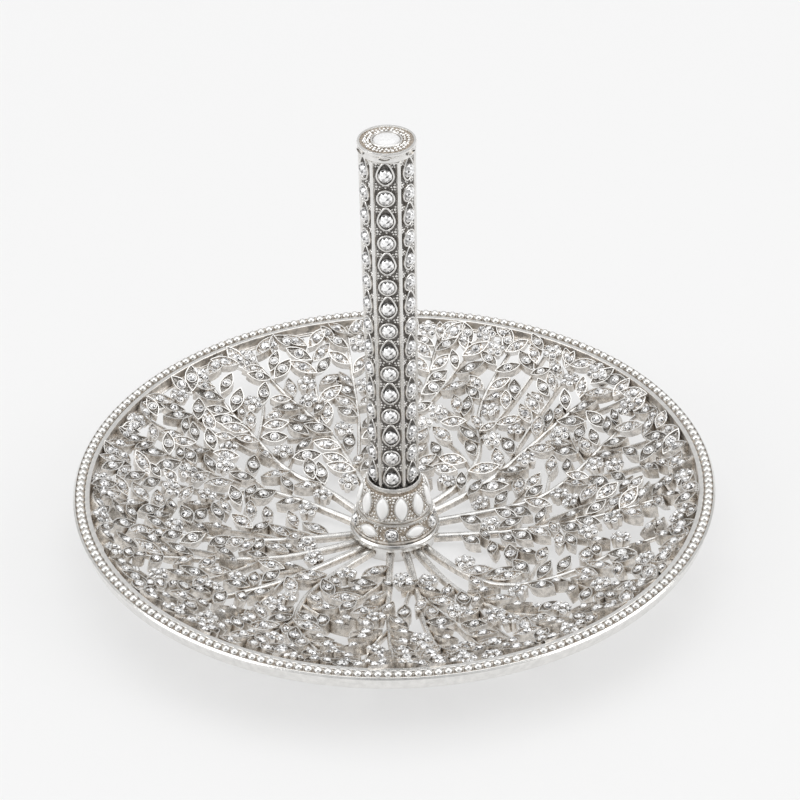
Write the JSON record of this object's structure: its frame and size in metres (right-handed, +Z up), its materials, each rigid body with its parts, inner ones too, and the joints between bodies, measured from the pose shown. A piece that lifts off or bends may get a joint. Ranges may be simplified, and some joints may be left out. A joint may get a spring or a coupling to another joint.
{
  "type": "ring holder",
  "caption": "Round openwork ring dish with leafy sprays, a beaded rim and a six-sided post set with clear crystals.",
  "frame": {"origin": "centre of the foot ring on the table, under the post", "axes": "+Z up along the post, -Y towards the viewer of the picture, +X to the right"},
  "size_m": [0.128, 0.128, 0.0935],
  "materials": {
    "silver": "bright plated casting",
    "antique_silver": "plated casting, darkened in its recesses",
    "crystal": "clear, faceted",
    "enamel": "white enamel, satin",
    "steel": "plain"
  },
  "bodies": {
    "root": {"rim_band": "silver", "centre_plate": "silver", "hub_lower": "silver", "hub_upper": "silver", "post_cap": "silver", "cabochon_bezel": "silver", "bead_border": "silver", "cap_grains": "silver", "post_bezels": "silver", "spray_01_stem": "silver", "spray_02_stem": "silver", "spray_03_stem": "silver", "spray_04_stem": "silver", "spray_05_stem": "silver", "spray_06_stem": "silver", "spray_07_stem": "silver", "spray_08_stem": "silver", "spray_09_stem": "silver", "spray_10_stem": "silver", "spray_11_stem": "silver", "spray_12_stem": "silver", "spray_13_stem": "silver", "spray_14_stem": "silver", "spray_15_stem": "silver", "spray_16_stem": "silver", "spray_01_foliage": "antique_silver", "spray_02_foliage": "antique_silver", "spray_03_foliage": "antique_silver", "spray_04_foliage": "antique_silver", "spray_05_foliage": "antique_silver", "spray_06_foliage": "antique_silver", "spray_07_foliage": "antique_silver", "spray_08_foliage": "antique_silver", "spray_09_foliage": "antique_silver", "spray_10_foliage": "antique_silver", "spray_11_foliage": "antique_silver", "spray_12_foliage": "antique_silver", "spray_13_foliage": "antique_silver", "spray_14_foliage": "antique_silver", "spray_15_foliage": "antique_silver", "spray_16_foliage": "antique_silver", "post_core": "antique_silver", "leaf_crystals": "crystal", "hub_crystals": "crystal", "post_crystals": "crystal", "upper_enamels": "enamel", "lower_enamels": "enamel", "cap_cabochon": "enamel", "fixing_screw": "steel"}
  },
  "joints": []
}
